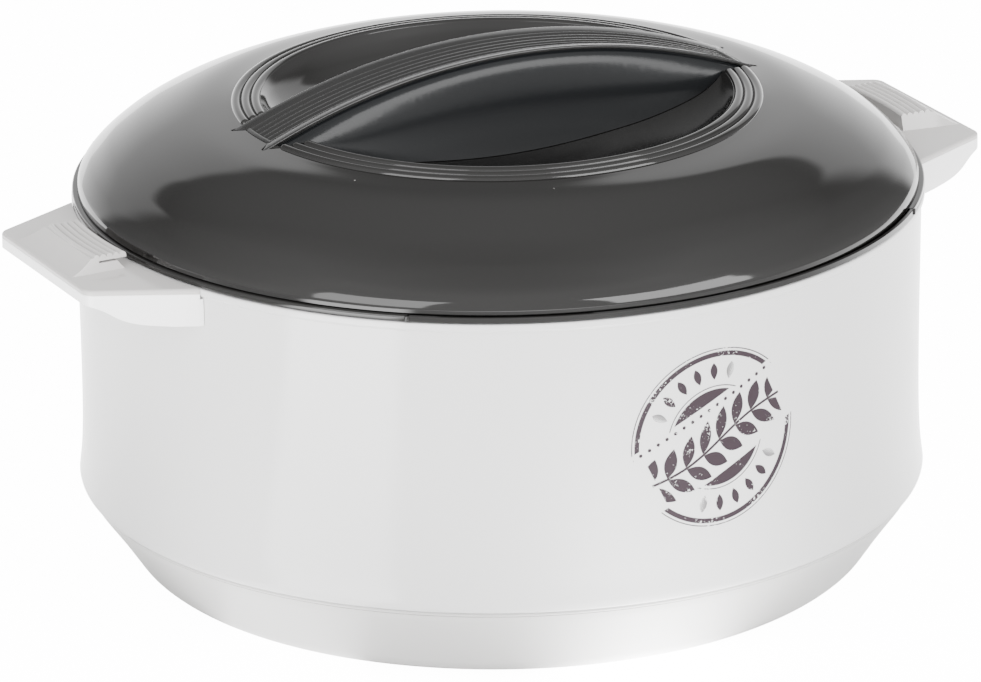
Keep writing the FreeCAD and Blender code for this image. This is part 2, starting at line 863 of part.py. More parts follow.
def make_web():
    stations = [share * web_end for share, width in web_foot]
    loops = [web_section(x) for x in [-x for x in stations[:0:-1]] + stations]
    web = Part.makeLoft(loops, True, False)
    reach = arch_turn(tip_reach) + 1
    over = grip_crest + cap_half
    side = grip_crest - cap_side_drop
    wide = 2 * web_half_top
    web = web.cut(arch_spin(mirrored([(wide, side), (wide, over)]), reach))
    core = grip_crest - cap_core_drop - slip / 2
    channel = cap_core_half + slip
    web = web.cut(arch_spin(mirrored([(channel, core), (channel, over)]), reach))
    inside = [web_side(0.0, turn) for turn in (66, 48, 30, 12, 0)]
    hollow = [(point.y - web_wall, point.z) for point in inside]
    hollow.append((hollow[-1][0], dish_floor - dish_rim + dish_floor))
    web = web.cut(arch_spin(mirrored(hollow), web_hollow_sweep))
    for sign in (-1, 1):
        place = sign * grip_boss_place
        web = web.fuse(column(grip_boss_radius, dish_floor, arch_height(place, grip_boss_cover), place))
    web = web.cut(under_dish(slip))
    for sign in (-1, 1):
        top = grip_screw_seat + grip_screw_length + gap
        web = web.cut(column(pilot_radius, grip_screw_seat, top, sign * grip_boss_place))
    return web.removeSplitter()


def make_cap():
    side = arch_radius - cap_side_drop
    core = arch_radius - cap_core_drop
    edge = (cap_half, arch_radius - cap_edge_drop)
    start = [(cap_core_half, core), (cap_core_half, side), (cap_half, side), edge]
    pitch = 2 * rail_inner / flute_count
    ridges = []
    for index in range(flute_count + 1):
        drop = ridge_drops[min(index, flute_count - index, len(ridge_drops) - 1)]
        ridges.append((rail_inner - index * pitch, arch_radius - drop))
    steps = start[1:] + [ridges[0]]
    for (left, high), (right, low) in zip(ridges, ridges[1:]):
        steps.append((((left + right) / 2, (high + low) / 2 - flute_depth), (right, low)))
    steps = steps + [(-y, radius) for y, radius in start[::-1]]
    face = trace(start[0], *steps)
    face.rotate(origin, up, 90)
    face.translate(arch_pivot)
    reach = arch_turn(tip_reach) + 1
    face.rotate(arch_pivot, across, -reach)
    cap = face.revolve(arch_pivot, across, 2 * reach)
    cap = cap.common(plan_prism(cap_plan(0.0), dish_floor, grip_crest + 1))
    centre = FreeCAD.Vector(0, 0, arch_height(cross_radius) - cross_drop)
    cross = Part.makeTorus(cross_radius, cross_round, centre, up)
    half = notch_half - slip
    for sign in (-1, 1):
        inner = sign * (cross_radius - 2 * cross_round)
        outer = sign * (cross_radius + 2 * cross_round)
        block = [(inner, -half), (outer, -half), (outer, half), (inner, half)]
        cap = cap.fuse(cross.common(plan_prism(block, dish_floor, grip_crest)))
    return cap.cut(under_dish(slip)).removeSplitter()


def make_grip_screws():
    screws = []
    for sign in (-1, 1):
        place = sign * grip_boss_place
        head = column(head_radius, grip_screw_seat - head_height, grip_screw_seat, place)
        shank_low = grip_screw_seat - head_height / 2
        shank = column(screw_radius, shank_low, grip_screw_seat + grip_screw_length, place)
        screws.append(head.fuse(shank).removeSplitter())
    return Part.makeCompound(screws)


def export(name, shape):
    solids = len(shape.Solids)
    print(name, "solids", solids, "valid", shape.isValid(), "volume", round(shape.Volume))
    shape.exportStep("parts/" + name + ".step")


handle = make_handle()
cover = make_handle_cover()
pad = make_thumb_pad()
export("outer_casing", make_casing())
export("base_cover", make_base_cover())
export("base_plug", make_base_plug())
export("inner_bowl", make_bowl())
export("body_foam", make_body_foam())
for side, angle in (("right", 0), ("left", 180)):
    export(side + "_handle", turned(handle, angle))
    export(side + "_handle_cover", turned(cover, angle))
    export(side + "_thumb_pad", turned(pad, angle))
export("handle_screws", make_handle_screws())
export("lid_dome", make_dome())
export("lid_liner", make_liner())
export("lid_foam", make_lid_foam())
export("lid_plug", make_lid_plug())
export("lid_grip", make_web())
export("grip_cap", make_cap())
export("grip_screws", make_grip_screws())
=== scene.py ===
import math

import bpy
from mathutils import Matrix, Vector


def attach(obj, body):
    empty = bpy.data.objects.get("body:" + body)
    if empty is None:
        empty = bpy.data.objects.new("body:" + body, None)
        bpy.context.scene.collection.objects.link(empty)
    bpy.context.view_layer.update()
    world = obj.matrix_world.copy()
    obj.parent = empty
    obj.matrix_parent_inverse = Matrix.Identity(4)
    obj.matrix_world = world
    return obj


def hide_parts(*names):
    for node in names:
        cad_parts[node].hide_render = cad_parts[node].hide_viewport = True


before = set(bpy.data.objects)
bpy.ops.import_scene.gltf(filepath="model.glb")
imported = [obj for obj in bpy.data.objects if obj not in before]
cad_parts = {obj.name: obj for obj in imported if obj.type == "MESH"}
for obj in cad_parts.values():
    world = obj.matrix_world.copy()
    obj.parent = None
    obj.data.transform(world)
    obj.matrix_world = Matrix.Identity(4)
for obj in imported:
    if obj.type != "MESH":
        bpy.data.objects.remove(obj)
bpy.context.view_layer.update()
mm = 0.001


def clearSelection():
    bpy.ops.object.select_all(action="DESELECT")


def makeActive(piece):
    clearSelection()
    piece.select_set(True)
    bpy.context.view_layer.objects.active = piece


def editing(piece):
    makeActive(piece)
    bpy.ops.object.mode_set(mode="EDIT")


def settle(piece, sharpAngle):
    # place into the mesh, smooth faces with creases kept
    bpy.ops.object.mode_set(mode="OBJECT")
    makeActive(piece)
    bpy.ops.object.transform_apply(location=True, rotation=True, scale=True)
    bpy.ops.object.shade_smooth_by_angle(angle=math.radians(sharpAngle))


def smoothRun(points, steps):
    # a soft line through a few measured points
    run = []
    for index in range(len(points) - 1):
        before = Vector(points[max(index - 1, 0)])
        start = Vector(points[index])
        end = Vector(points[index + 1])
        after = Vector(points[min(index + 2, len(points) - 1)])
        reach = (end - start).length
        leave = (end - before).normalized() * reach
        arrive = (after - start).normalized() * reach
        for step in range(steps):
            t = step / steps
            spot = (start * (2 * t**3 - 3 * t**2 + 1) + leave * (t**3 - 2 * t**2 + t)
                    + end * (-2 * t**3 + 3 * t**2) + arrive * (t**3 - t**2))
            run.append((spot.x, spot.y))
    return run + [tuple(points[-1])]


def bend(centre, radius, start, end, steps):
    # points on a rounded corner, angles in degrees above the outward direction
    turns = [math.radians(start + (end - start) * step / steps) for step in range(steps + 1)]
    return [(centre[0] + radius * math.cos(t), centre[1] + radius * math.sin(t)) for t in turns]


def moveIn(points, distance):
    # the same line one wall thickness to its left
    moved = []
    for index, (radius, height) in enumerate(points):
        before = points[max(index - 1, 0)]
        after = points[min(index + 1, len(points) - 1)]
        run, rise = after[0] - before[0], after[1] - before[1]
        length = math.hypot(run, rise)
        moved.append((radius - distance * rise / length, height + distance * run / length))
    return moved


def drawLine(name, points):
    # one point, carried on from place to place and back to where it began
    clearSelection()
    bpy.ops.mesh.primitive_plane_add(size=mm, location=[c * mm for c in points[0]])
    piece = bpy.context.object
    piece.name = name
    bpy.ops.object.mode_set(mode="EDIT")
    bpy.ops.mesh.select_mode(type="VERT")
    bpy.ops.mesh.select_all(action="SELECT")
    bpy.ops.mesh.merge(type="CENTER")
    for here, spot in zip(points, points[1:] + points[:1]):
        step = [(b - a) * mm for a, b in zip(here, spot)]
        bpy.ops.mesh.extrude_region_move(TRANSFORM_OT_translate={"value": step})
    bpy.ops.mesh.select_all(action="SELECT")
    bpy.ops.mesh.remove_doubles(threshold=0.002 * mm)
    bpy.ops.mesh.select_all(action="SELECT")
    return piece


def finishSpin(piece, closed, sharpAngle):
    bpy.ops.mesh.select_all(action="SELECT")
    bpy.ops.mesh.remove_doubles(threshold=0.002 * mm)
    bpy.ops.mesh.delete_loose()
    if not closed:
        bpy.ops.mesh.select_all(action="DESELECT")
        bpy.ops.mesh.select_mode(type="EDGE")
        bpy.ops.mesh.select_non_manifold(extend=False)
        bpy.ops.mesh.fill_holes(sides=0)
    bpy.ops.mesh.select_all(action="SELECT")
    bpy.ops.mesh.normals_make_consistent(inside=False)
    settle(piece, sharpAngle)


def turnOnLathe(name, outline, steps, sharpAngle=35, sweep=360.0, start=0.0):
    # draw the cut profile, then spin it about the middle of the pot
    turn = math.radians(start)
    piece = drawLine(name, [(r * math.cos(turn), r * math.sin(turn), z) for r, z in outline])
    # spin counts its angle clockwise
    bpy.ops.mesh.spin(steps=steps, angle=-math.radians(sweep), center=(0, 0, 0), axis=(0, 0, 1))
    finishSpin(piece, sweep == 360.0, sharpAngle)
    return piece


def standUp(name, plan, low, high):
    # an upright block on a plan outline
    piece = drawLine(name, [(x, y, low) for x, y in plan])
    bpy.ops.mesh.edge_face_add()
    bpy.ops.mesh.extrude_region_move(TRANSFORM_OT_translate={"value": (0, 0, (high - low) * mm)})
    finishSpin(piece, True, 35)
    return piece


def join(piece, tool, how):
    makeActive(piece)
    cut = piece.modifiers.new("cut", "BOOLEAN")
    cut.operation = how
    cut.solver = "EXACT"
    cut.object = tool
    bpy.ops.object.modifier_apply(modifier="cut")
    bpy.data.objects.remove(tool)


def fuseAll(pieces, name):
    makeActive(pieces[0])
    for other in pieces[1:]:
        other.select_set(True)
    bpy.ops.object.join()
    pieces[0].name = name
    return pieces[0]


def placeOn(piece, skin, body, slot, *nodes):
    piece.data.materials.clear()
    piece.data.materials.append(skins[skin])
    if nodes:
        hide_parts(*nodes)
    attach(piece, body)


def refine(node, name, sharpAngle):
    # a welded, smooth shaded copy of a CAD piece stands for it
    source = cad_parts[node]
    piece = source.copy()
    piece.data = source.data.copy()
    for key in list(piece.keys()):
        del piece[key]
    piece.parent = None
    piece.matrix_world = Matrix.Identity(4)
    piece.name = name
    bpy.context.scene.collection.objects.link(piece)
    editing(piece)
    bpy.ops.mesh.customdata_custom_splitnormals_clear()
    bpy.ops.mesh.select_all(action="SELECT")
    bpy.ops.mesh.remove_doubles(threshold=0.002 * mm)
    settle(piece, sharpAngle)
    return piece


# Materials

def soft(node, **values):
    for socket, value in values.items():
        node.inputs[socket.replace("_", " ")].default_value = value


def reckon(tree, operation, *values):
    # one Math node; values are numbers or other nodes' outputs
    node = tree.nodes.new("ShaderNodeMath")
    node.operation = operation
    for slotIndex, value in enumerate(values):
        if isinstance(value, (int, float)):
            node.inputs[slotIndex].default_value = value
        else:
            tree.links.new(value, node.inputs[slotIndex])
    return node.outputs["Value"]


def spread(tree, value, fromLow, fromHigh, toLow, toHigh, how="LINEAR"):
    node = tree.nodes.new("ShaderNodeMapRange")
    node.interpolation_type = how
    soft(node, From_Min=fromLow, From_Max=fromHigh, To_Min=toLow, To_Max=toHigh)
    tree.links.new(value, node.inputs["Value"])
    return node.outputs["Result"]


def noise(tree, vector, scale, detail=2.0, roughness=0.5):
    node = tree.nodes.new("ShaderNodeTexNoise")
    soft(node, Detail=detail, Roughness=roughness)
    if isinstance(scale, (int, float)):
        node.inputs["Scale"].default_value = scale
    else:
        tree.links.new(scale, node.inputs["Scale"])
    tree.links.new(vector, node.inputs["Vector"])
    return node.outputs["Fac"]


def mixColours(tree, share, first, second):
    node = tree.nodes.new("ShaderNodeMix")
    node.data_type = "RGBA"
    for socket, value in (("A", first), ("B", second)):
        if isinstance(value, tuple):
            node.inputs[socket].default_value = (*value, 1)
        else:
            tree.links.new(value, node.inputs[socket])
    tree.links.new(share, node.inputs["Factor"])
    return node.outputs["Result"]


def makeMouldedSkin():
    # fine moulded skin: faint waviness, hair scratches and specks of dust in the gloss
    group = bpy.data.node_groups.new("mouldedSkin", "ShaderNodeTree")
    face = group.interface
    for label, value in (("Gloss", 0.15), ("Gloss Change", 0.04), ("Wave Size", 30.0), ("Grain Size", 900.0),
                         ("Grain Depth", 0.2), ("Scratches", 0.3), ("Dust", 0.3)):
        face.new_socket(name=label, in_out="INPUT", socket_type="NodeSocketFloat").default_value = value
    for label in ("Roughness", "Height", "Tint", "Specks"):
        face.new_socket(name=label, in_out="OUTPUT", socket_type="NodeSocketFloat")
    given = group.nodes.new("NodeGroupInput").outputs
    out = group.nodes.new("NodeGroupOutput").inputs
    place = group.nodes.new("ShaderNodeTexCoord").outputs["Object"]

    wave = noise(group, place, given["Wave Size"], 3.0)
    grain = noise(group, place, given["Grain Size"], 2.0, 0.6)
    brushed = group.nodes.new("ShaderNodeMapping")
    soft(brushed, Scale=(14.0, 260.0, 90.0), Rotation=(0.3, 0.2, 0.7))
    group.links.new(place, brushed.inputs["Vector"])
    scratch = spread(group, noise(group, brushed.outputs["Vector"], 6.0, 4.0, 0.7), 0.62, 0.75, 0.0, 1.0)
    worn = reckon(group, "MULTIPLY", scratch, given["Scratches"])

    cells = group.nodes.new("ShaderNodeTexVoronoi")
    soft(cells, Scale=110.0)
    group.links.new(place, cells.inputs["Vector"])
    pick = group.nodes.new("ShaderNodeSeparateColor")
    group.links.new(cells.outputs["Color"], pick.inputs["Color"])
    chosen = reckon(group, "GREATER_THAN", pick.outputs["Red"], 0.93)
    size = spread(group, pick.outputs["Green"], 0.0, 1.0, 0.012, 0.035)
    dot = reckon(group, "LESS_THAN", cells.outputs["Distance"], size)
    specks = reckon(group, "MULTIPLY", reckon(group, "MULTIPLY", chosen, dot), given["Dust"])

    change = reckon(group, "MULTIPLY", reckon(group, "SUBTRACT", wave, 0.5), given["Gloss Change"])
    gloss = reckon(group, "ADD", given["Gloss"], change)
    dull = reckon(group, "ADD", worn, specks)
    rough = reckon(group, "MULTIPLY_ADD", dull, 0.12, gloss)
    height = reckon(group, "MULTIPLY_ADD", grain, given["Grain Depth"], wave)
    for label, value in (("Roughness", rough), ("Height", height), ("Tint", wave), ("Specks", specks)):
        group.links.new(value, out[label])
    return group


mouldedSkin = makeMouldedSkin()


def mouldedPlastic(name, look):
    skin = bpy.data.materials.new(name)
    skin.use_nodes = True
    tree = skin.node_tree
    shader = tree.nodes["Principled BSDF"]
    soft(shader, IOR=look.get("ior", 1.49), Metallic=0.0)
    surface = tree.nodes.new("ShaderNodeGroup")
    surface.node_tree = mouldedSkin
    soft(surface, Gloss=look["gloss"], Gloss_Change=look.get("glossChange", 0.04),
         Wave_Size=look.get("waveSize", 30.0), Grain_Size=look.get("grainSize", 900.0),
         Grain_Depth=look.get("grainDepth", 0.2), Scratches=look.get("scratches", 0.2),
         Dust=look.get("dust", 0.0))
    made = surface.outputs
    other = tuple(c * look.get("tintDrop", 0.96) for c in look["color"])
    tint = mixColours(tree, made["Tint"], look["color"], other)
    tint = mixColours(tree, made["Specks"], tint, (0.5, 0.49, 0.47))
    tree.links.new(tint, shader.inputs["Base Color"])
    tree.links.new(made["Roughness"], shader.inputs["Roughness"])
    bump = tree.nodes.new("ShaderNodeBump")
    soft(bump, Strength=look.get("bump", 0.03), Distance=0.0004)
    tree.links.new(made["Height"], bump.inputs["Height"])
    tree.links.new(bump.outputs["Normal"], shader.inputs["Normal"])
    return skin


def spunSteel(name, look):
    # steel with fine rings left by polishing
    skin = bpy.data.materials.new(name)
    skin.use_nodes = True
    tree = skin.node_tree
    shader = tree.nodes["Principled BSDF"]
    soft(shader, Base_Color=(*look["color"], 1), Metallic=1.0)
    stretch = tree.nodes.new("ShaderNodeMapping")
    soft(stretch, Scale=(6.0, 6.0, 2600.0))
    tree.links.new(tree.nodes.new("ShaderNodeTexCoord").outputs["Object"], stretch.inputs["Vector"])
    rings = noise(tree, stretch.outputs["Vector"], 1.0, 3.0, 0.6)
    rough = spread(tree, rings, 0.3, 0.7, look["gloss"] - 0.05, look["gloss"] + 0.07)
    tree.links.new(rough, shader.inputs["Roughness"])
    bump = tree.nodes.new("ShaderNodeBump")
    soft(bump, Strength=0.06, Distance=0.0002)
    tree.links.new(rings, bump.inputs["Height"])
    tree.links.new(bump.outputs["Normal"], shader.inputs["Normal"])
    return skin


def foamSkin(name):
    skin = bpy.data.materials.new(name)
    skin.use_nodes = True
    tree = skin.node_tree
    shader = tree.nodes["Principled BSDF"]
    soft(shader, Roughness=0.85)
    cells = tree.nodes.new("ShaderNodeTexVoronoi")
    soft(cells, Scale=700.0)
    tree.links.new(tree.nodes.new("ShaderNodeTexCoord").outputs["Object"], cells.inputs["Vector"])
    shade = mixColours(tree, cells.outputs["Distance"], (0.55, 0.42, 0.20), (0.74, 0.62, 0.36))
    tree.links.new(shade, shader.inputs["Base Color"])
    bump = tree.nodes.new("ShaderNodeBump")
    soft(bump, Strength=0.4, Distance=0.0006)
    tree.links.new(cells.outputs["Distance"], bump.inputs["Height"])
    tree.links.new(bump.outputs["Normal"], shader.inputs["Normal"])
    return skin


looks = {
    "bodyWhite": {"color": (0.64, 0.638, 0.635), "gloss": 0.09, "glossChange": 0.03, "waveSize": 16.0,
                  "bump": 0.02, "tintDrop": 0.99, "grainDepth": 0.08, "scratches": 0.1},
    # the base's grey is partly its own greyer, more matte tone and partly painted shade, standing in for the
    # contact shade that the glowing floor leaves out under the pot
    "baseGreyAndShade": {"color": (0.56, 0.554, 0.545), "gloss": 0.32, "glossChange": 0.05, "waveSize": 18.0,
                  "bump": 0.03, "tintDrop": 0.985, "grainDepth": 0.12},
    "handleWhite": {"color": (0.93, 0.925, 0.925), "gloss": 0.16, "glossChange": 0.05, "waveSize": 40.0,
                    "bump": 0.03, "tintDrop": 0.985},
    # handle plates and thumb rests take a darker copy of the handle white: painted shade for their upward faces
    "shadedPlateWhite": {"color": (0.48, 0.466, 0.457), "gloss": 0.12, "glossChange": 0.04, "waveSize": 40.0,
                   "bump": 0.03, "tintDrop": 0.98},
    "lidGrey": {"color": (0.0070, 0.0066, 0.0062), "gloss": 0.07, "glossChange": 0.04, "waveSize": 22.0,
                "bump": 0.03, "tintDrop": 0.9, "grainDepth": 0.1, "dust": 0.5, "ior": 1.46},
    "webGrey": {"color": (0.0070, 0.0076, 0.0083), "gloss": 0.21, "glossChange": 0.06, "waveSize": 35.0,
                "bump": 0.05, "tintDrop": 0.9, "dust": 0.3, "ior": 1.3},
    "capGrey": {"color": (0.0070, 0.0068, 0.0066), "gloss": 0.24, "glossChange": 0.06, "waveSize": 35.0,
                "bump": 0.05, "tintDrop": 0.9, "dust": 0.3, "ior": 1.46},
    "plugWhite": {"color": (0.74, 0.74, 0.73), "gloss": 0.45, "bump": 0.06},
}
skins = {name: mouldedPlastic(name, look) for name, look in looks.items()}
skins["bowlSteel"] = spunSteel("bowlSteel", {"color": (0.72, 0.71, 0.70), "gloss": 0.24})
skins["screwZinc"] = spunSteel("screwZinc", {"color": (0.66, 0.67, 0.68), "gloss": 0.32})
skins["foamYellow"] = foamSkin("foamYellow")

# Every CAD piece first gets its own finish; those below are then stood for by finer ones
finishes = {
    "outer_casing": "bodyWhite", "base_cover": "baseGreyAndShade", "base_plug": "plugWhite",
    "inner_bowl": "bowlSteel", "body_foam": "foamYellow", "left_handle": "handleWhite",
    "right_handle": "handleWhite", "left_handle_cover": "shadedPlateWhite", "right_handle_cover": "shadedPlateWhite",
    "left_thumb_pad": "shadedPlateWhite", "right_thumb_pad": "shadedPlateWhite", "handle_screws": "screwZinc",
    "lid_dome": "lidGrey", "lid_liner": "lidGrey", "lid_foam": "foamYellow", "lid_plug": "plugWhite",
    "lid_grip": "webGrey", "grip_cap": "capGrey", "grip_screws": "screwZinc",
}
for node, skin in finishes.items():
    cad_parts[node].data.materials.clear()
    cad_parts[node].data.materials.append(skins[skin])
print("materials ready")

# Body casing
casing = {
    "steps": 240,
    "side": [(148.2, 33.2), (147.2, 42.0), (146.6, 56.0), (146.5, 80.0), (146.8, 110.0), (147.0, 131.2)],
    "wall": 2.2,
    "foot": 31.7,
    "lip": 148.2,
    "lipTop": 134.4,
    "lipRound": 0.7,
    "ledge": 133.2,
    "ledgeIn": 137.0,
    "lipIn": 144.8,
}


def makeCasing(c):
    side = smoothRun(c["side"], 6)
    inner = moveIn(c["side"], c["wall"])
    corner = (c["lip"] - c["lipRound"], c["lipTop"] - c["lipRound"])
    outline = smoothRun([(147.2, c["foot"]), (147.9, 32.2), side[0]], 3)[:-1] + side
    outline += [(c["lip"] - 0.25, 132.05), (c["lip"], 132.4)] + bend(corner, c["lipRound"], 0, 90, 5)
    outline += [(c["lipIn"], c["lipTop"]), (c["lipIn"], c["ledge"]), (c["ledgeIn"], c["ledge"]),
                (c["ledgeIn"], 131.2)]
    outline += inner[::-1] + [(inner[0][0], c["foot"])]
    piece = turnOnLathe("casingBarrel", outline, c["steps"])
    placeOn(piece, "bodyWhite", "body", "body_shell", "outer_casing")


makeCasing(casing)
print("casing done")

# Round stamp printed on the front of the casing, an ornament without words
stamp = {
    "middle": (2.34, 86.5),     # degrees round from the front, height
    "tilt": 26.0,
    "around": 146.6,
    "patch": 35.0,
    "lift": (0.03, 0.07),       # film's back and front over the casing
    "thinRing": (31.3, 0.17),   # radius, half width
    "thickRing": (29.5, 0.85),
    "bandHalf": 11.9,
    "lensOuter": 17.2,
    "lensGrow": 0.8,
    "lensLine": (18.3, 0.16),
    "petalRing": (23.6, 3.0, 1.35),     # radius, half length, half width
    "petalPitch": 0.27,         # radians
    "petalLean": 0.675,         # the last petals' angle from upright
    "dotLine": (10.3, 3.5, 0.62),       # height, pitch, radius
    "dotReach": 31.0,
    "stemWave": (0.11, 1.6),    # turns to the millimetre, swing
    "stemDrop": 1.6,
    "stemHalf": (0.45, 27.5),   # half width, half length
    "leafPitch": 7.4,
    "leafOut": 4.6,
    "leafReach": 25.9,
    "leaf": (5.4, 2.25, 52.0),  # half length, half width, lean in degrees
    "edge": 0.09,
    "crumbs": (1150.0, 3.0, 0.62),      # scale, detail, roughness
    "patches": (85.0, 2.0, 0.5),
    "patchShare": 0.75,
    "lost": (1.03, 1.07),       # ink goes between these
    "gloss": (0.35, 0.55),
    "ink": (0.030, 0.021, 0.026),
}


def leafShape(tree, along, across, half, wide):
    # below nought inside a pointed leaf
    bulge = reckon(tree, "SUBTRACT", 1.0, reckon(tree, "POWER", reckon(tree, "DIVIDE", along, half), 2.0))
    return reckon(tree, "SUBTRACT", reckon(tree, "ABSOLUTE", across), reckon(tree, "MULTIPLY", bulge, wide))


def bandShape(tree, value, middle, half):
    return reckon(tree, "SUBTRACT", reckon(tree, "ABSOLUTE", reckon(tree, "SUBTRACT", value, middle)), half)


def bothOf(tree, first, second):
    return reckon(tree, "MAXIMUM", first, second)


def anyOf(tree, shapes):
    found = shapes[0]
    for shape in shapes[1:]:
        found = reckon(tree, "MINIMUM", found, shape)
    return found


def cellAround(tree, value, pitch):
    # distance from the middle of the nearest cell of a row
    share = reckon(tree, "FRACT", reckon(tree, "DIVIDE", value, pitch))
    return reckon(tree, "MULTIPLY", reckon(tree, "SUBTRACT", share, 0.5), pitch)


def makeStampSkin(s):
    skin = bpy.data.materials.new("stampInk")
    skin.use_nodes = True
    tree = skin.node_tree
    shader = tree.nodes["Principled BSDF"]
    place = tree.nodes.new("ShaderNodeTexCoord").outputs["Object"]
    axes = tree.nodes.new("ShaderNodeSeparateXYZ")
    tree.links.new(place, axes.inputs["Vector"])
    turn = reckon(tree, "ARCTAN2", axes.outputs["X"], reckon(tree, "MULTIPLY", axes.outputs["Y"], -1.0))
    turn = reckon(tree, "SUBTRACT", turn, math.radians(s["middle"][0]))
    u = reckon(tree, "MULTIPLY", turn, s["around"])
    v = reckon(tree, "MULTIPLY_ADD", axes.outputs["Z"], 1 / mm, -s["middle"][1])
    c, n = math.cos(math.radians(s["tilt"])), math.sin(math.radians(s["tilt"]))
    p = reckon(tree, "ADD", reckon(tree, "MULTIPLY", u, c), reckon(tree, "MULTIPLY", v, n))
    q = reckon(tree, "SUBTRACT", reckon(tree, "MULTIPLY", v, c), reckon(tree, "MULTIPLY", u, n))
    squares = reckon(tree, "ADD", reckon(tree, "MULTIPLY", p, p), reckon(tree, "MULTIPLY", q, q))
    away = reckon(tree, "SQRT", squares)
    offBand = reckon(tree, "SUBTRACT", s["bandHalf"], reckon(tree, "ABSOLUTE", q))

    rings = [bothOf(tree, bandShape(tree, away, *s[ring]), offBand)
             for ring in ("thinRing", "thickRing", "lensLine")]
    lens = bothOf(tree, reckon(tree, "SUBTRACT", away, s["lensOuter"]),
                  reckon(tree, "ADD", offBand, s["lensGrow"]))

    # a ring of petals above and below the band
    petalRadius, petalHalf, petalWide = s["petalRing"]
    lean = reckon(tree, "ARCTAN2", p, reckon(tree, "ABSOLUTE", q))
    sideways = reckon(tree, "MULTIPLY", cellAround(tree, lean, s["petalPitch"]), petalRadius)
    petals = leafShape(tree, reckon(tree, "SUBTRACT", away, petalRadius), sideways, petalHalf, petalWide)
    petals = bothOf(tree, petals, reckon(tree, "SUBTRACT", reckon(tree, "ABSOLUTE", lean), s["petalLean"]))

    # a row of dots along the band
    dotHeight, dotPitch, dotRadius = s["dotLine"]
    dotAlong = cellAround(tree, p, dotPitch)
    dotAcross = reckon(tree, "SUBTRACT", q, dotHeight)
    dots = reckon(tree, "SQRT", reckon(tree, "ADD", reckon(tree, "MULTIPLY", dotAlong, dotAlong),
                                       reckon(tree, "MULTIPLY", dotAcross, dotAcross)))
    dots = bothOf(tree, reckon(tree, "SUBTRACT", dots, dotRadius), reckon(tree, "SUBTRACT", away, s["dotReach"]))

    # a leafy twig across the middle
    waving, swing = s["stemWave"]
    stemWide, stemLong = s["stemHalf"]
    wave = reckon(tree, "MULTIPLY", reckon(tree, "SINE", reckon(tree, "MULTIPLY", p, waving)), swing)
    fromStem = reckon(tree, "SUBTRACT", reckon(tree, "ADD", q, s["stemDrop"]), wave)
    stem = bothOf(tree, reckon(tree, "SUBTRACT", reckon(tree, "ABSOLUTE", fromStem), stemWide),
                  reckon(tree, "SUBTRACT", reckon(tree, "ABSOLUTE", p), stemLong))
    leafHalf, leafWide, leafLean = s["leaf"]
    out = reckon(tree, "SUBTRACT", reckon(tree, "ABSOLUTE", fromStem), s["leafOut"])
    onward = cellAround(tree, p, s["leafPitch"])
    lc, ln = math.cos(math.radians(leafLean)), math.sin(math.radians(leafLean))
    leafAlong = reckon(tree, "ADD", reckon(tree, "MULTIPLY", onward, lc), reckon(tree, "MULTIPLY", out, ln))
    leafAcross = reckon(tree, "SUBTRACT", reckon(tree, "MULTIPLY", out, lc),
                        reckon(tree, "MULTIPLY", onward, ln))
    leaves = leafShape(tree, leafAlong, leafAcross, leafHalf, leafWide)
    leaves = bothOf(tree, leaves, reckon(tree, "SUBTRACT", reckon(tree, "ABSOLUTE", p), s["leafReach"]))

    shape = anyOf(tree, rings + [lens, petals, dots, stem, leaves])
    printed = spread(tree, shape, -s["edge"], s["edge"], 1.0, 0.0)

    # ink lost in crumbs, more in some places than in others
    crumbs = noise(tree, place, *s["crumbs"])
    patches = noise(tree, place, *s["patches"])
    lost = reckon(tree, "MULTIPLY_ADD", patches, s["patchShare"], crumbs)
    kept = spread(tree, lost, *s["lost"], 1.0, 0.0)
    ink = reckon(tree, "MULTIPLY", printed, kept)
    paint = mixColours(tree, ink, looks["bodyWhite"]["color"], s["ink"])
    tree.links.new(paint, shader.inputs["Base Color"])
    tree.links.new(ink, shader.inputs["Alpha"])
    tree.links.new(spread(tree, crumbs, 0.2, 0.8, *s["gloss"]), shader.inputs["Roughness"])
    soft(shader, IOR=1.22)
    return skin


def makeStamp(s):
    # a thin film bent round the casing
    low, high = s["middle"][1] - s["patch"], s["middle"][1] + s["patch"]
    around = [spot for spot in smoothRun(casing["side"], 12) if low < spot[1] < high]
    back = moveIn(around, -s["lift"][0])
    front = moveIn(around, -s["lift"][1])
    sweep = math.degrees(2 * s["patch"] / s["around"])
    skins["stampInk"] = makeStampSkin(s)
    piece = turnOnLathe("bodyStamp", front + back[::-1], 48, 35, sweep, s["middle"][0] - 90 - sweep / 2)
    placeOn(piece, "stampInk", "body", "body_shell")


makeStamp(stamp)
print("stamp done")

# Base cover
base = {
    "steps": 240,
    "side": [(117.4, 0.0), (124.5, 2.2), (129.3, 5.6), (132.4, 9.9), (136.6, 16.2), (141.0, 22.4),
             (144.6, 27.4)],
    "edge": (145.9, 29.8),
    "seam": 31.4,
    "bead": 146.6,
    "wall": 2.4,
    "spigot": 39.0,
    "footIn": 105.5,
    "recess": 3.0,
    "hole": 14.3,
}


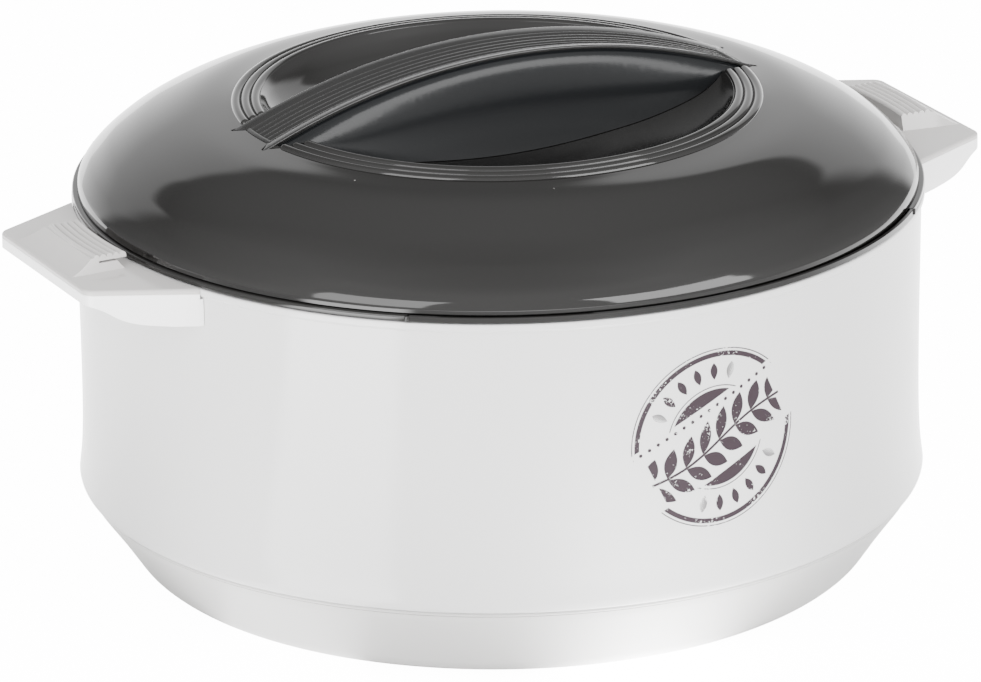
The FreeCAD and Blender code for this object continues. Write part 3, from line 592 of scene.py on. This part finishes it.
def makeBase(b):
    inner = moveIn(b["side"], b["wall"])
    edge = b["edge"]
    low = (edge[0] - 0.4, edge[1] + 0.2)
    middle = (low[1] + b["seam"]) / 2
    outline = [(b["footIn"], 0.0)] + smoothRun(b["side"] + [edge], 6) + [low]
    outline += [(b["bead"] - 0.3, middle - 0.5), (b["bead"], middle), (b["bead"] - 0.3, middle + 0.5),
                (low[0], b["seam"])]
    outline += [(inner[-1][0] + 2.2, b["seam"]), (inner[-1][0] + 2.2, b["spigot"]), (inner[-1][0], b["spigot"])]
    outline += smoothRun(inner[::-1], 3)
    outline += [(b["footIn"] + 1.0, b["wall"]), (b["footIn"] - 2.5, b["recess"] + b["wall"]),
                (b["hole"], b["recess"] + b["wall"]), (b["hole"], b["recess"]), (b["footIn"] - 3.5, b["recess"])]
    piece = turnOnLathe("basePan", outline, b["steps"])
    placeOn(piece, "baseGreyAndShade", "body", "base_shell", "base_cover")


makeBase(base)
print("base done")

# Steel bowl
bowl = {"steps": 180, "floor": 18.0, "corner": 30.0, "low": 131.0, "high": 133.6, "steel": 0.8,
        "lipRound": 2.2, "ledge": 133.2, "flange": 144.5}


def makeBowl(b):
    centre = (b["low"] - b["corner"], b["floor"] + b["corner"])
    lip = (b["high"] + b["lipRound"], b["ledge"] - b["lipRound"])
    outline = [(0.0, b["floor"])] + bend(centre, b["corner"], -90, 0, 14)
    outline += bend(lip, b["lipRound"], 180, 90, 5) + [(b["flange"], b["ledge"])]
    outline += [(b["flange"], b["ledge"] + b["steel"])] + bend(lip, b["lipRound"] + b["steel"], 90, 180, 6)
    outline += bend(centre, b["corner"] - b["steel"], 0, -90, 14) + [(0.0, b["floor"] + b["steel"])]
    piece = turnOnLathe("steelBowl", outline, b["steps"])
    placeOn(piece, "bowlSteel", "body", "bowl_steel", "inner_bowl")


makeBowl(bowl)
print("bowl done")

# Grip bridge's plan, used for the pocket in the dome and for its ribbed strip
grip = {
    "crest": 185.0,
    "archRadius": 239.0,
    "tipReach": 95.85,
    "half": 12.6,
    "tipFace": 0.9,
    "lobe": 92.6,
    "notch": 8.4,
    "foot": [(61.3, 18.0), (73.9, 17.3), (81.1, 16.3), (86.1, 14.9), (90.15, 13.4)],
    "slip": 0.2,
    "gap": 0.3,
    "edgeDrop": 0.25,
    "edgeRound": 0.55,
    "sideDrop": 1.5,
    "coreHalf": 10.0,
    "coreDrop": 2.9,
    "railIn": 7.6,
    "flutes": 5,
    "ridgeDrops": [1.0, 1.25, 1.35, 1.35, 1.25, 1.0],
    "ridgeHalf": 0.2,
    "fluteDepth": 0.55,
    "steps": 110,
    "crossRadius": 91.2,
    "crossRound": 1.4,
    "crossDrop": 2.2,
}


def fishtail(g, grow):
    end = [(g["tipReach"] + grow, g["half"] + grow), (g["tipReach"] + grow, g["half"] - g["tipFace"] - grow)]
    for share in (1.0, 0.75, 0.5, 0.25, 0.0):
        y = g["notch"] * share
        end.append((math.sqrt((g["lobe"] + grow)**2 - y**2), y))
    right = end + [(x, -y) for x, y in end[-2::-1]]
    return right + [(-x, -y) for x, y in right]


# Lid dome
dome = {
    "steps": 288,
    "foot": (146.2, 137.2),
    "side": [(145.88, 139.0), (144.82, 141.2), (141.02, 145.4), (133.98, 151.1), (122.98, 157.3),
             (108.01, 162.9), (92.15, 165.6)],
    "dish": [(81.89, 166.95), (79.02, 164.0), (74.03, 160.79), (67.48, 158.31), (57.98, 155.7),
             (49.46, 153.89), (39.96, 152.49), (29.97, 151.2), (15.97, 149.95), (0.0, 149.7)],
    "wall": 2.6,
    "seatFloor": [(78.72, 163.7), (83.6, 165.43), (92.15, 164.3), (98.05, 163.15)],
}
beads = {
    "steps": 150,
    "round": 1.86,
    "ballShare": 0.985,         # a ball stays just inside its bead
    "rows": [(90.44, 165.115, 8.8), (87.02, 165.565, 10.1), (83.6, 166.015, 11.4)],     # radius, height, tip
}


def makeDome(d):
    side = smoothRun([d["foot"]] + d["side"], 8)
    dish = smoothRun(d["dish"], 5)
    under = moveIn(dish[::4], d["wall"])
    under[-1] = (0.0, d["dish"][-1][1] - d["wall"])
    inner = moveIn([d["foot"]] + d["side"], d["wall"])
    inner[0] = (d["foot"][0] - d["wall"], d["foot"][1])
    outline = side + dish + under[::-1] + [(84.6, 164.0)] + smoothRun(inner[::-1], 3)
    piece = turnOnLathe("domeShell", outline, d["steps"], 50)

    # pocket for the bridge's ends, no deeper than its floor
    floor = d["seatFloor"]
    pocket = turnOnLathe("seatRing", floor + [(floor[-1][0], 175.0), (floor[0][0], 175.0)], 180)
    plan = standUp("seatPlan", fishtail(grip, grip["slip"]), 155.0, 180.0)
    foot = [(x + grip["gap"], y + grip["gap"]) for x, y in grip["foot"]]
    for way in (-1, 1):
        outlineRight = foot + [(x, -y) for x, y in foot[::-1]]
        join(plan, standUp("footPlan", [(way * x, y) for x, y in outlineRight], 154.0, 181.0), "UNION")
    join(pocket, plan, "INTERSECT")
    join(piece, pocket, "DIFFERENCE")
    makeActive(piece)
    bpy.ops.object.shade_smooth_by_angle(angle=math.radians(35))
    placeOn(piece, "lidGrey", "lid", "lid_shell", "lid_dome")


def makeBeads(b):
    # round beads beside the dish, with ball ends next to the bridge
    made = []
    for radius, height, tip in b["rows"]:
        start = tip + math.degrees(b["round"] / radius)
        section = bend((radius, height), b["round"], 0, 345, 23)
        for side in (0, 180):
            made.append(turnOnLathe("bead", section, b["steps"], 50, 180 - 2 * start, start + side))
            for angle in (start + side, 180 - start + side):
                turn = math.radians(angle)
                clearSelection()
                bpy.ops.mesh.primitive_uv_sphere_add(
                    segments=24, ring_count=16, radius=b["ballShare"] * b["round"] * mm,
                    location=(radius * mm * math.cos(turn), radius * mm * math.sin(turn), height * mm))
                ball = bpy.context.object
                bpy.ops.object.transform_apply(location=True, rotation=True, scale=True)
                bpy.ops.object.shade_smooth()
                made.append(ball)
    placeOn(fuseAll(made, "domeBeads"), "lidGrey", "lid", "lid_shell")


makeDome(dome)
makeBeads(beads)
print("dome done")

# Lid's lower shell: rim, front and back flats with end nubs, plug wall and plate
liner = {
    "steps": 288,
    "rim": 148.0,
    "low": 134.7,
    "high": 136.9,
    "round": 0.8,
    "wallTop": 132.0,
    "wallLow": 130.7,
    "bottom": 121.0,
    "corner": 4.0,
    "rise": 2.5,
    "wall": 2.2,
    "hole": 9.3,
    "ring": (139.7, 140.9, 2.0),
    "band": (146.4, 148.3, 134.9),
    "bandStart": -129.0,
    "bandSweep": 85.5,
    "nub": 0.9,
}


def makeLiner(k):
    edge = k["wallLow"] - k["corner"]
    corner = (edge, k["bottom"] + k["corner"])
    plate = []
    for share in (1.0, 0.75, 0.5, 0.25):
        radius = k["hole"] + (edge - k["hole"]) * share
        plate.append((radius, k["bottom"] + k["rise"] * (1 - (radius / edge)**2)))
    plate.append((k["hole"], k["bottom"] + k["rise"] * (1 - (k["hole"] / edge)**2)))
    rim = k["rim"] - k["round"]
    ringOuter, ringTop, ringWall = k["ring"]
    outline = plate[::-1] + bend(corner, k["corner"], -90, 0, 6)[1:] + [(k["wallTop"], k["low"])]
    outline += bend((rim, k["low"] + k["round"]), k["round"], -90, 0, 5)
    outline += bend((rim, k["high"] - k["round"]), k["round"], 0, 90, 5)
    outline += [(ringOuter, k["high"]), (ringOuter, ringTop), (ringOuter - ringWall, ringTop),
                (ringOuter - ringWall, k["high"]), (k["wallTop"] - k["wall"], k["high"]),
                (k["wallLow"] - k["wall"], corner[1])]
    outline += bend(corner, k["corner"] - k["wall"], 0, -90, 4)[1:]
    outline += [(radius, height + k["wall"]) for radius, height in plate[1:]]
    made = [turnOnLathe("lidUnderShell", outline, k["steps"])]
    inside, outside, low = k["band"]
    flat = [(inside, low), (outside - 0.15, low), (outside, low + 0.15), (outside, k["high"] - 0.15),
            (outside - 0.15, k["high"]), (inside, k["high"])]
    for start in (k["bandStart"], k["bandStart"] + 180.0):
        made.append(turnOnLathe("rimFlat", flat, 72, 35, k["bandSweep"], start))
        for angle in (start, start + k["bandSweep"]):
            turn = math.radians(angle)
            clearSelection()
            bpy.ops.mesh.primitive_cylinder_add(
                vertices=32, radius=k["nub"] * mm, depth=(k["high"] - low) * mm,
                location=(k["rim"] * mm * math.cos(turn), k["rim"] * mm * math.sin(turn),
                          (k["high"] + low) / 2 * mm))
            nub = bpy.context.object
            bpy.ops.object.mode_set(mode="EDIT")
            bpy.ops.mesh.select_all(action="SELECT")
            bpy.ops.mesh.bevel(offset=0.12 * mm, segments=2, affect="EDGES")
            settle(nub, 35)
            made.append(nub)
    placeOn(fuseAll(made, "lidUnderShell"), "lidGrey", "lid", "lid_inner", "lid_liner")


makeLiner(liner)
print("liner done")


def stripProfile(g):
    # half width and radius about the arch's axis, from one lower edge over the top to the other
    top = g["archRadius"]
    side = top - g["sideDrop"]
    corner = (g["half"] - g["edgeRound"], top - g["edgeDrop"] - g["edgeRound"])
    half = [(g["coreHalf"], top - g["coreDrop"]), (g["coreHalf"], side), (g["half"] - 0.1, side),
            (g["half"], side + 0.1)] + bend(corner, g["edgeRound"], 0, 84, 6)
    pitch = 2 * g["railIn"] / g["flutes"]
    ridges = [(g["railIn"] - index * pitch, top - drop) for index, drop in enumerate(g["ridgeDrops"])]
    run = []
    for index, (y, radius) in enumerate(ridges):
        if index == 0:
            run.append((y + 0.3, radius + 0.04))
        run += [(y + g["ridgeHalf"], radius - 0.02), (y, radius), (y - g["ridgeHalf"], radius - 0.02)]
        if index == len(ridges) - 1:
            run.append((y - 0.3, radius + 0.04))
            break
        nextY, nextRadius = ridges[index + 1]
        left, right = y - g["ridgeHalf"], nextY + g["ridgeHalf"]
        for step in range(1, 8):
            share = step / 8
            dip = g["fluteDepth"] * math.sin(math.pi * share)**0.7
            run.append((left + (right - left) * share, radius + (nextRadius - radius) * share - dip))
    return half + run + [(-y, radius) for y, radius in half[::-1]]


def makeStrip(g):
    # sweep the ribbed profile about the arch's axis, then trim it to the fishtail
    reach = math.asin((g["tipReach"] + 4) / g["archRadius"])
    axisHeight = g["crest"] - g["archRadius"]
    points = [(-radius * math.sin(reach), y, axisHeight + radius * math.cos(reach))
              for y, radius in stripProfile(g)]
    piece = drawLine("gripStrip", points)
    bpy.ops.mesh.spin(steps=g["steps"], angle=-2 * reach, center=(0, 0, axisHeight * mm), axis=(0, 1, 0))
    finishSpin(piece, False, 30)
    join(piece, standUp("stripPlan", fishtail(g, 0.0), 150.0, 195.0), "INTERSECT")
    makeActive(piece)
    bpy.ops.object.shade_smooth_by_angle(angle=math.radians(30))
    made = [piece]
    height = math.sqrt(g["archRadius"]**2 - g["crossRadius"]**2) + axisHeight - g["crossDrop"]
    section = bend((g["crossRadius"], height), g["crossRound"], 0, 345, 23)
    half = math.degrees((g["notch"] - g["slip"]) / g["crossRadius"])
    for side in (0, 180):
        made.append(turnOnLathe("cross", section, 12, 50, 2 * half, side - half))
    placeOn(fuseAll(made, "gripStrip"), "capGrey", "lid", "grip_strip", "grip_cap")


makeStrip(grip)
print("strip done")

# The rest keeps its CAD shape, welded and shaded smooth
copies = {
    "left_handle": ("handleShellLeft", "handleWhite", "body", "handle_shell", 32),
    "right_handle": ("handleShellRight", "handleWhite", "body", "handle_shell", 32),
    "left_handle_cover": ("handlePlateLeft", "shadedPlateWhite", "body", "handle_plate", 32),
    "right_handle_cover": ("handlePlateRight", "shadedPlateWhite", "body", "handle_plate", 32),
    "left_thumb_pad": ("thumbRestLeft", "shadedPlateWhite", "body", "thumb_rest", 40),
    "right_thumb_pad": ("thumbRestRight", "shadedPlateWhite", "body", "thumb_rest", 40),
    "lid_grip": ("gripWeb", "webGrey", "lid", "grip_web", 32),
}
for node, (name, skin, body, slot, sharp) in copies.items():
    placeOn(refine(node, name, sharp), skin, body, slot, node)
print("copies done")

# Floor, lights and camera
studio = {
    "ahead": (0.454, 0.891),    # level direction from the camera to the pot; turns count to the right of it
    "floorSize": 12.0,
    "floorColor": (0.6, 0.6, 0.6),
    "floorShown": 14.0,         # seen by the camera alone
    "backdrop": 18.0,
    "floorGlow": {"far": 3.8, "near": 0.5, "left": 0.1},
    "farToNear": (70.0, 110.0),
    "leftFloorShade": (-150.0, -70.0, 25.0),     # painted shade on the left of the floor: turns, softness
    "pools": [                  # painted pools of light, brighter sectors of the floor: turns, glow near and far
        {"from": -157, "to": -130, "softness": 2.5, "glow": (3.0, 12.0)},
        {"from": 148, "to": 167, "softness": 12.0, "glow": (14.0, 0.5)},
    ],
    "poolReach": (0.15, 0.5),
    "ceiling": {"far": (0.4, 1.15), "near": (2.0, 1.3)},    # low and overhead
    "ceilingRise": {"far": (0.57, 0.94), "near": (0.87, 1.0)},
    "window": {"from": -47, "to": 32, "rise": 33, "wave": 2.5, "waveFrom": 10.0, "waveRate": 12,
               "low": 2.8, "high": 1.45},
    "key": {"turn": 172, "glow": 6.0, "rise": 2, "spread": 8.0},
    "softboxes": [
        {"name": "softboxLeft", "turn": -145, "low": 15, "high": 47, "away": 2.6, "half": 17, "glow": 6.4},
        {"name": "softboxRight", "turn": 130, "low": 14, "high": 45, "away": 2.6, "half": 22, "glow": 9.6},
    ],
}
camera = {
    "place": (-1.1382, -2.2259, 0.9778),
    "look": (0.42712, 0.83803, -0.33951),
    "roll": -0.0121,
    "lens": 278.5,
}


def turnAbout(tree, axes, s):
    # degrees to the right of the direction from the camera to the pot
    x, y = axes.outputs["X"], axes.outputs["Y"]
    ax, ay = s["ahead"]
    onward = reckon(tree, "ADD", reckon(tree, "MULTIPLY", x, ax), reckon(tree, "MULTIPLY", y, ay))
    right = reckon(tree, "SUBTRACT", reckon(tree, "MULTIPLY", x, ay), reckon(tree, "MULTIPLY", y, ax))
    return reckon(tree, "DEGREES", reckon(tree, "ARCTAN2", right, onward))


def within(tree, value, low, high, softness):
    rising = spread(tree, value, low - softness, low + softness, 0.0, 1.0, "SMOOTHSTEP")
    falling = spread(tree, value, high - softness, high + softness, 1.0, 0.0, "SMOOTHSTEP")
    return reckon(tree, "MULTIPLY", rising, falling)


def makeFloor(s):
    clearSelection()
    bpy.ops.mesh.primitive_plane_add(size=s["floorSize"], location=(0, 0, 0))
    floor = bpy.context.object
    floor.name = "floor"
    paint = bpy.data.materials.new("floorPaint")
    paint.use_nodes = True
    tree = paint.node_tree
    shader = tree.nodes["Principled BSDF"]
    soft(shader, Base_Color=(*s["floorColor"], 1), Roughness=0.9, Emission_Color=(1, 1, 1, 1))
    axes = tree.nodes.new("ShaderNodeSeparateXYZ")
    place = tree.nodes.new("ShaderNodeTexCoord").outputs["Object"]
    tree.links.new(place, axes.inputs["Vector"])
    turn = turnAbout(tree, axes, s)
    reach = tree.nodes.new("ShaderNodeVectorMath")
    reach.operation = "LENGTH"
    tree.links.new(place, reach.inputs[0])
    # the floor's glow, seen by every ray but the camera's, is painted light: bright behind the pot and dim
    # before it, with painted shade on the left and painted pools of light in some sectors
    glows = s["floorGlow"]
    behind = spread(tree, reckon(tree, "ABSOLUTE", turn), *s["farToNear"], glows["far"], glows["near"],
                    "SMOOTHSTEP")
    shade = reckon(tree, "MULTIPLY", within(tree, turn, *s["leftFloorShade"]), glows["near"] - glows["left"])
    glow = reckon(tree, "SUBTRACT", behind, shade)
    for pool in s["pools"]:
        extra = spread(tree, reach.outputs["Value"], *s["poolReach"], *pool["glow"])
        inside = within(tree, turn, pool["from"], pool["to"], pool["softness"])
        glow = reckon(tree, "MULTIPLY_ADD", inside, extra, glow)
    seen = tree.nodes.new("ShaderNodeLightPath").outputs["Is Camera Ray"]
    shown = reckon(tree, "MULTIPLY_ADD", seen, reckon(tree, "SUBTRACT", s["floorShown"], glow), glow)
    tree.links.new(shown, shader.inputs["Emission Strength"])
    floor.data.materials.append(paint)


def makeLights(s):
    ahead = Vector((*s["ahead"], 0)).normalized()
    right = Vector((ahead.y, -ahead.x, 0))
    for box in s["softboxes"]:
        turn, rise = math.radians(box["turn"]), math.radians((box["low"] + box["high"]) / 2)
        wide = 2 * box["away"] * math.tan(math.radians(box["half"])) * math.cos(rise)
        tall = 2 * box["away"] * math.tan(math.radians(box["high"] - box["low"]) / 2)
        level = ahead * math.cos(turn) + right * math.sin(turn)
        way = level * math.cos(rise) + Vector((0, 0, math.sin(rise)))
        clearSelection()
        bpy.ops.object.light_add(type="AREA", location=way * box["away"] + Vector((0, 0, 0.15)))
        light = bpy.context.object
        light.name = box["name"]
        light.data.shape = "RECTANGLE"
        light.data.size, light.data.size_y = wide, tall
        light.data.energy = box["glow"] * math.pi * wide * tall
        light.rotation_euler = way.to_track_quat("Z", "Y").to_euler()


def makeSurroundings(s):
    # a dim room, paler on the near side, with a bright panel behind the pot and a low key light before it
    world = bpy.data.worlds.new("studio")
    bpy.context.scene.world = world
    world.use_nodes = True
    tree = world.node_tree
    axes = tree.nodes.new("ShaderNodeSeparateXYZ")
    tree.links.new(tree.nodes.new("ShaderNodeTexCoord").outputs["Generated"], axes.inputs["Vector"])
    rise = axes.outputs["Z"]
    turn = turnAbout(tree, axes, s)

    far = spread(tree, rise, *s["ceilingRise"]["far"], *s["ceiling"]["far"])
    near = spread(tree, rise, *s["ceilingRise"]["near"], *s["ceiling"]["near"])
    share = spread(tree, reckon(tree, "ABSOLUTE", reckon(tree, "ADD", turn, 4.0)), 42.0, 112.0, 0.0, 1.0)
    room = reckon(tree, "MULTIPLY_ADD", share, reckon(tree, "SUBTRACT", near, far), far)

    panel = s["window"]
    ripple = reckon(tree, "MULTIPLY", reckon(tree, "SUBTRACT", turn, panel["waveFrom"]),
                    math.radians(panel["waveRate"]))
    ripple = reckon(tree, "COSINE", ripple)
    slope = math.radians(panel["wave"]) * math.cos(math.radians(panel["rise"]))
    panelTop = reckon(tree, "MULTIPLY_ADD", ripple, slope, math.sin(math.radians(panel["rise"])))
    panelGlow = spread(tree, rise, 0.0, 0.3, panel["low"], panel["high"])
    inPanel = reckon(tree, "MULTIPLY", within(tree, turn, panel["from"], panel["to"], 4.0),
                     spread(tree, reckon(tree, "SUBTRACT", rise, panelTop), -0.015, 0.015, 1.0, 0.0))
    room = reckon(tree, "MULTIPLY_ADD", inPanel, reckon(tree, "SUBTRACT", panelGlow, room), room)

    key = s["key"]
    keyTop = math.sin(math.radians(key["rise"]))
    facing = reckon(tree, "COSINE", reckon(tree, "RADIANS", reckon(tree, "SUBTRACT", turn, key["turn"])))
    lobe = reckon(tree, "POWER", reckon(tree, "MAXIMUM", facing, 0.0), key["spread"])
    lobe = reckon(tree, "MULTIPLY", lobe, key["glow"])
    low = spread(tree, rise, keyTop - 0.02, keyTop + 0.02, 1.0, 0.0)
    light = reckon(tree, "MULTIPLY_ADD", low, lobe, room)

    seen = tree.nodes.new("ShaderNodeLightPath").outputs["Is Camera Ray"]
    shown = reckon(tree, "MULTIPLY_ADD", seen, reckon(tree, "SUBTRACT", s["backdrop"], light), light)
    tree.links.new(shown, tree.nodes["Background"].inputs["Strength"])
    tree.nodes["Background"].inputs["Color"].default_value = (1, 1, 1, 1)


def makeCamera(c):
    clearSelection()
    bpy.ops.object.camera_add(location=c["place"])
    lens = bpy.context.object
    lens.name = "photoCamera"
    ahead = Vector(c["look"]).normalized()
    right = ahead.cross(Vector((0, 0, 1))).normalized()
    above = right.cross(ahead)
    tilt = c["roll"]
    side = right * math.cos(tilt) + above * math.sin(tilt)
    top = above * math.cos(tilt) - right * math.sin(tilt)
    turned = Matrix((side, top, -ahead)).transposed()
    lens.rotation_euler = turned.to_euler()
    lens.data.lens = c["lens"]
    lens.data.sensor_width = 36.0
    lens.data.clip_start, lens.data.clip_end = 0.1, 50.0
    bpy.context.scene.camera = lens


makeFloor(studio)
makeLights(studio)
makeSurroundings(studio)
makeCamera(camera)

print("scene ready")
